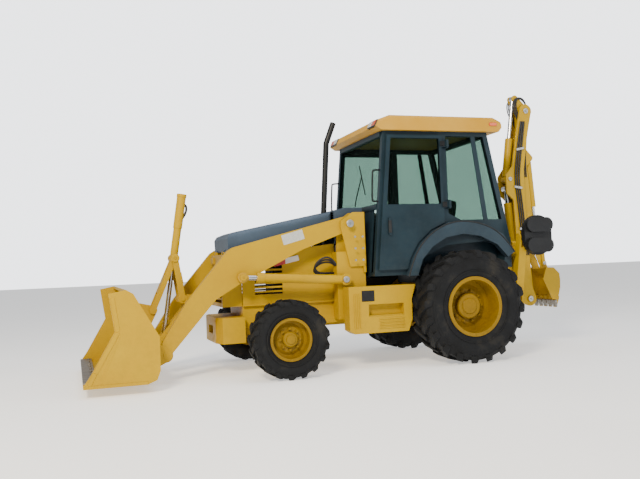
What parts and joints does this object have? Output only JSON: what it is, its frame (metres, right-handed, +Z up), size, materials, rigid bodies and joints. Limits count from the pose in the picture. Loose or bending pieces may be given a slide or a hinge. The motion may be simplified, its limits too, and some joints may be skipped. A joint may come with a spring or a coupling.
{
  "type": "backhoe loader",
  "caption": "Four-wheeled backhoe loader with cab, front loader bucket on two lifting arms and a swinging rear digging arm with stabilisers.",
  "frame": {"origin": "centre of the bounding box at ground level", "axes": "+X to the rear of the machine, the loader bucket at -X, +Z up, the machine's left side at -Y"},
  "size_m": [5.915, 2.1948, 3.2719],
  "materials": {
    "paint_yellow": "gloss",
    "wheel_yellow": "gloss",
    "hood_slate": "satin",
    "cab_slate": "satin",
    "roof_yellow": "satin",
    "black_metal": "matte",
    "dark_cast": "matte",
    "tyre_rubber": "matte",
    "rod_chrome": "polished",
    "clear_glass": "clear",
    "seat_fabric": "matte",
    "black_plastic": "matte",
    "grille_black": "matte"
  },
  "bodies": {
    "chassis": {"main_frame": "paint_yellow", "loader_frame": "paint_yellow", "engine_block": "dark_cast", "nose_grille": "grille_black", "cowl": "hood_slate", "engine_side_panels": "paint_yellow", "exhaust_stack": "black_metal", "front_axle": "paint_yellow", "rear_axle": "paint_yellow", "cab_frame": "cab_slate", "cab_roof": "roof_yellow", "cab_glass": "clear_glass", "fenders": "cab_slate", "step_boxes": "paint_yellow", "seat": "seat_fabric", "controls": "black_plastic", "rear_frame": "paint_yellow"},
    "hood": {"hood": "hood_slate"},
    "knuckle_left": {"knuckle_left": "paint_yellow"},
    "knuckle_right": {"knuckle_right": "paint_yellow"},
    "front_wheel_left": {"front_tyre_left": "tyre_rubber", "front_rim_left": "wheel_yellow"},
    "front_wheel_right": {"front_tyre_right": "tyre_rubber", "front_rim_right": "wheel_yellow"},
    "rear_wheel_left": {"rear_tyre_left": "tyre_rubber", "rear_rim_left": "wheel_yellow"},
    "rear_wheel_right": {"rear_tyre_right": "tyre_rubber", "rear_rim_right": "wheel_yellow"},
    "door_left": {"door_left": "cab_slate", "door_glass_left": "clear_glass"},
    "door_right": {"door_right": "cab_slate", "door_glass_right": "clear_glass"},
    "lift_arms": {"lift_arms": "paint_yellow"},
    "lift_cylinders": {"lift_cylinders": "paint_yellow"},
    "lift_rods": {"lift_rods": "rod_chrome"},
    "loader_bucket": {"loader_bucket": "paint_yellow"},
    "guide_link": {"guide_link": "paint_yellow"},
    "bucket_link": {"bucket_link": "paint_yellow"},
    "tilt_cylinder": {"tilt_cylinder": "paint_yellow"},
    "tilt_rod": {"tilt_rod": "rod_chrome"},
    "swing_post": {"swing_post": "paint_yellow"},
    "boom": {"boom": "paint_yellow"},
    "dipper": {"dipper": "paint_yellow"},
    "hoe_bucket": {"hoe_bucket": "paint_yellow"},
    "hoe_rocker": {"hoe_rocker": "paint_yellow"},
    "hoe_link": {"hoe_link": "paint_yellow"},
    "boom_cylinder": {"boom_cylinder": "paint_yellow"},
    "boom_rod": {"boom_rod": "rod_chrome"},
    "crowd_cylinder": {"crowd_cylinder": "paint_yellow"},
    "crowd_rod": {"crowd_rod": "rod_chrome"},
    "bucket_cylinder": {"bucket_cylinder": "paint_yellow"},
    "bucket_rod": {"bucket_rod": "rod_chrome"},
    "stabiliser_leg_left": {"stabiliser_leg_left": "paint_yellow"},
    "stabiliser_leg_right": {"stabiliser_leg_right": "paint_yellow"},
    "stabiliser_foot_left": {"stabiliser_foot_left": "paint_yellow"},
    "stabiliser_foot_right": {"stabiliser_foot_right": "paint_yellow"},
    "stabiliser_cylinder_left": {"stabiliser_cylinder_left": "paint_yellow"},
    "stabiliser_cylinder_right": {"stabiliser_cylinder_right": "paint_yellow"},
    "stabiliser_rod_left": {"stabiliser_rod_left": "rod_chrome"},
    "stabiliser_rod_right": {"stabiliser_rod_right": "rod_chrome"}
  },
  "joints": [
    {"name": "hood_hinge", "type": "hinge", "parent": "chassis", "child": "hood", "pos_m": [-1.4295, 0, 1.338], "axis": [0, -1, 0], "range_deg": [0, 50]},
    {"name": "steer_left", "type": "hinge", "parent": "chassis", "child": "knuckle_left", "pos_m": [-0.9175, -0.8, 0.41], "axis": [0, 0, 1], "range_deg": [-42, 42]},
    {"name": "steer_right", "type": "hinge", "parent": "chassis", "child": "knuckle_right", "pos_m": [-0.9175, 0.8, 0.41], "axis": [0, 0, 1], "range_deg": [-42, 42]},
    {"name": "front_wheel_left_spin", "type": "hinge", "parent": "knuckle_left", "child": "front_wheel_left", "pos_m": [-0.9175, -0.946, 0.41], "axis": [0, 1, 0], "continuous": true},
    {"name": "rear_wheel_left_spin", "type": "hinge", "parent": "chassis", "child": "rear_wheel_left", "pos_m": [1.2225, -0.871, 0.632], "axis": [0, 1, 0], "continuous": true},
    {"name": "door_left_hinge", "type": "hinge", "parent": "chassis", "child": "door_left", "pos_m": [1.1125, -0.78, 2.15], "axis": [0, 0, 1], "range_deg": [0, 95]},
    {"name": "front_wheel_right_spin", "type": "hinge", "parent": "knuckle_right", "child": "front_wheel_right", "pos_m": [-0.9175, 0.946, 0.41], "axis": [0, 1, 0], "continuous": true},
    {"name": "rear_wheel_right_spin", "type": "hinge", "parent": "chassis", "child": "rear_wheel_right", "pos_m": [1.2225, 0.871, 0.632], "axis": [0, 1, 0], "continuous": true},
    {"name": "door_right_hinge", "type": "hinge", "parent": "chassis", "child": "door_right", "pos_m": [1.1125, 0.78, 2.15], "axis": [0, 0, -1], "range_deg": [0, 95]},
    {"name": "lift", "type": "hinge", "parent": "chassis", "child": "lift_arms", "pos_m": [-0.0775, 0, 1.61], "axis": [0, 1, 0], "range_deg": [-2, 76]},
    {"name": "lift_cylinder_pivot", "type": "hinge", "parent": "chassis", "child": "lift_cylinders", "pos_m": [-0.1475, 0, 0.99], "axis": [0, 1, 0], "range_deg": [-1.69, 63.83]},
    {"name": "lift_rod_slide", "type": "slide", "parent": "lift_cylinders", "child": "lift_rods", "axis": [-0.9982, 0, 0.0602], "range_m": [-0.0191, 0.7208]},
    {"name": "bucket_tilt", "type": "hinge", "parent": "lift_arms", "child": "loader_bucket", "pos_m": [-2.1275, 0, 0.29], "axis": [0, 1, 0], "range_deg": [-121, 25]},
    {"name": "guide_pivot", "type": "hinge", "parent": "lift_arms", "child": "guide_link", "pos_m": [-1.8775, 0, 0.85], "axis": [0, 1, 0], "range_deg": [-121.5, 25.5]},
    {"name": "bucket_link_pivot", "type": "hinge", "parent": "guide_link", "child": "bucket_link", "pos_m": [-1.9475, 0, 1.3], "axis": [0, 1, 0], "range_deg": [-25.5, 121.5]},
    {"name": "tilt_cylinder_pivot", "type": "hinge", "parent": "guide_link", "child": "tilt_cylinder", "pos_m": [-1.9475, 0, 1.3], "axis": [0, 1, 0], "range_deg": [-13.48, 65.17]},
    {"name": "tilt_rod_slide", "type": "slide", "parent": "tilt_cylinder", "child": "tilt_rod", "axis": [-0.1591, 0, -0.9873], "range_m": [-0.6193, 0.1281]},
    {"name": "swing", "type": "hinge", "parent": "chassis", "child": "swing_post", "pos_m": [2.3225, 0, 0.785], "axis": [0, 0, 1], "range_deg": [-90, 90]},
    {"name": "boom_lift", "type": "hinge", "parent": "swing_post", "child": "boom", "pos_m": [2.5525, 0, 0.62], "axis": [0, 1, 0], "range_deg": [0, 132]},
    {"name": "boom_cylinder_pivot", "type": "hinge", "parent": "swing_post", "child": "boom_cylinder", "pos_m": [2.4525, 0, 1], "axis": [0, 1, 0], "range_deg": [0, 140.99]},
    {"name": "boom_rod_slide", "type": "slide", "parent": "boom_cylinder", "child": "boom_rod", "axis": [-0.0854, 0, 0.9963], "range_m": [0, 0.6683]},
    {"name": "dipper_crowd", "type": "hinge", "parent": "boom", "child": "dipper", "pos_m": [2.6425, 0, 3.06], "axis": [0, -1, 0], "range_deg": [0, 130]},
    {"name": "crowd_cylinder_pivot", "type": "hinge", "parent": "boom", "child": "crowd_cylinder", "pos_m": [2.3625, 0, 2.17], "axis": [0, -1, 0], "range_deg": [-3.06, 0]},
    {"name": "crowd_rod_slide", "type": "slide", "parent": "crowd_cylinder", "child": "crowd_rod", "axis": [0.1493, 0, 0.9888], "range_m": [-0.3718, 0]},
    {"name": "hoe_bucket_curl", "type": "hinge", "parent": "dipper", "child": "hoe_bucket", "pos_m": [2.7225, 0, 1.25], "axis": [0, -1, 0], "range_deg": [0, 115]},
    {"name": "hoe_rocker_pivot", "type": "hinge", "parent": "dipper", "child": "hoe_rocker", "pos_m": [2.7025, 0, 1.5], "axis": [0, -1, 0], "range_deg": [0, 115.5]},
    {"name": "hoe_link_pivot", "type": "hinge", "parent": "hoe_rocker", "child": "hoe_link", "pos_m": [2.78702, 0, 1.31874], "axis": [0, -1, 0], "range_deg": [-115.5, 0]},
    {"name": "bucket_cylinder_pivot", "type": "hinge", "parent": "dipper", "child": "bucket_cylinder", "pos_m": [2.7075, 0, 2.45], "axis": [0, -1, 0], "range_deg": [0, 8.56]},
    {"name": "bucket_rod_slide", "type": "slide", "parent": "bucket_cylinder", "child": "bucket_rod", "axis": [0.0701, 0, -0.9975], "range_m": [-0.3125, 0]},
    {"name": "stabiliser_left", "type": "hinge", "parent": "chassis", "child": "stabiliser_leg_left", "pos_m": [2.0325, -0.62, 0.59], "axis": [-1, 0, 0], "range_deg": [-115, 0]},
    {"name": "stabiliser_foot_left_pivot", "type": "hinge", "parent": "stabiliser_leg_left", "child": "stabiliser_foot_left", "pos_m": [2.0325, -0.8, 1.4], "axis": [-1, 0, 0], "range_deg": [-8, 30]},
    {"name": "stabiliser_cylinder_left_pivot", "type": "hinge", "parent": "chassis", "child": "stabiliser_cylinder_left", "pos_m": [2.0325, -0.6, 1.32], "axis": [-1, 0, 0], "range_deg": [0, 8.79]},
    {"name": "stabiliser_rod_left_slide", "type": "slide", "parent": "stabiliser_cylinder_left", "child": "stabiliser_rod_left", "axis": [0, -0.1003, -0.995], "range_m": [0, 0.2643]},
    {"name": "stabiliser_right", "type": "hinge", "parent": "chassis", "child": "stabiliser_leg_right", "pos_m": [2.0325, 0.62, 0.59], "axis": [1, 0, 0], "range_deg": [-115, 0]},
    {"name": "stabiliser_foot_right_pivot", "type": "hinge", "parent": "stabiliser_leg_right", "child": "stabiliser_foot_right", "pos_m": [2.0325, 0.8, 1.4], "axis": [1, 0, 0], "range_deg": [-8, 30]},
    {"name": "stabiliser_cylinder_right_pivot", "type": "hinge", "parent": "chassis", "child": "stabiliser_cylinder_right", "pos_m": [2.0325, 0.6, 1.32], "axis": [1, 0, 0], "range_deg": [0, 8.79]},
    {"name": "stabiliser_rod_right_slide", "type": "slide", "parent": "stabiliser_cylinder_right", "child": "stabiliser_rod_right", "axis": [0, 0.1003, -0.995], "range_m": [0, 0.2643]}
  ],
  "couplings": [
    {"joint": "steer_right", "follows": "steer_left", "ratio": 1},
    {"joint": "lift_cylinder_pivot", "follows": "lift", "ratio": 0.8397},
    {"joint": "lift_rod_slide", "follows": "lift", "m_per_rad": 0.5433},
    {"joint": "guide_pivot", "follows": "bucket_tilt", "ratio": 1},
    {"joint": "bucket_link_pivot", "follows": "bucket_tilt", "ratio": -1},
    {"joint": "tilt_cylinder_pivot", "follows": "bucket_tilt", "ratio": -0.5385},
    {"joint": "tilt_rod_slide", "follows": "bucket_tilt", "m_per_rad": 0.2932},
    {"joint": "boom_cylinder_pivot", "follows": "boom_lift", "ratio": 1.068},
    {"joint": "boom_rod_slide", "follows": "boom_lift", "m_per_rad": 0.29},
    {"joint": "crowd_cylinder_pivot", "follows": "dipper_crowd", "ratio": -0.0234},
    {"joint": "crowd_rod_slide", "follows": "dipper_crowd", "m_per_rad": -0.1638},
    {"joint": "hoe_rocker_pivot", "follows": "hoe_bucket_curl", "ratio": 1},
    {"joint": "hoe_link_pivot", "follows": "hoe_bucket_curl", "ratio": -1},
    {"joint": "bucket_cylinder_pivot", "follows": "hoe_bucket_curl", "ratio": 0.0743},
    {"joint": "bucket_rod_slide", "follows": "hoe_bucket_curl", "m_per_rad": -0.1556},
    {"joint": "stabiliser_cylinder_left_pivot", "follows": "stabiliser_left", "ratio": -0.0763},
    {"joint": "stabiliser_rod_left_slide", "follows": "stabiliser_left", "m_per_rad": -0.1316},
    {"joint": "stabiliser_cylinder_right_pivot", "follows": "stabiliser_right", "ratio": -0.0763},
    {"joint": "stabiliser_rod_right_slide", "follows": "stabiliser_right", "m_per_rad": -0.1316}
  ]
}
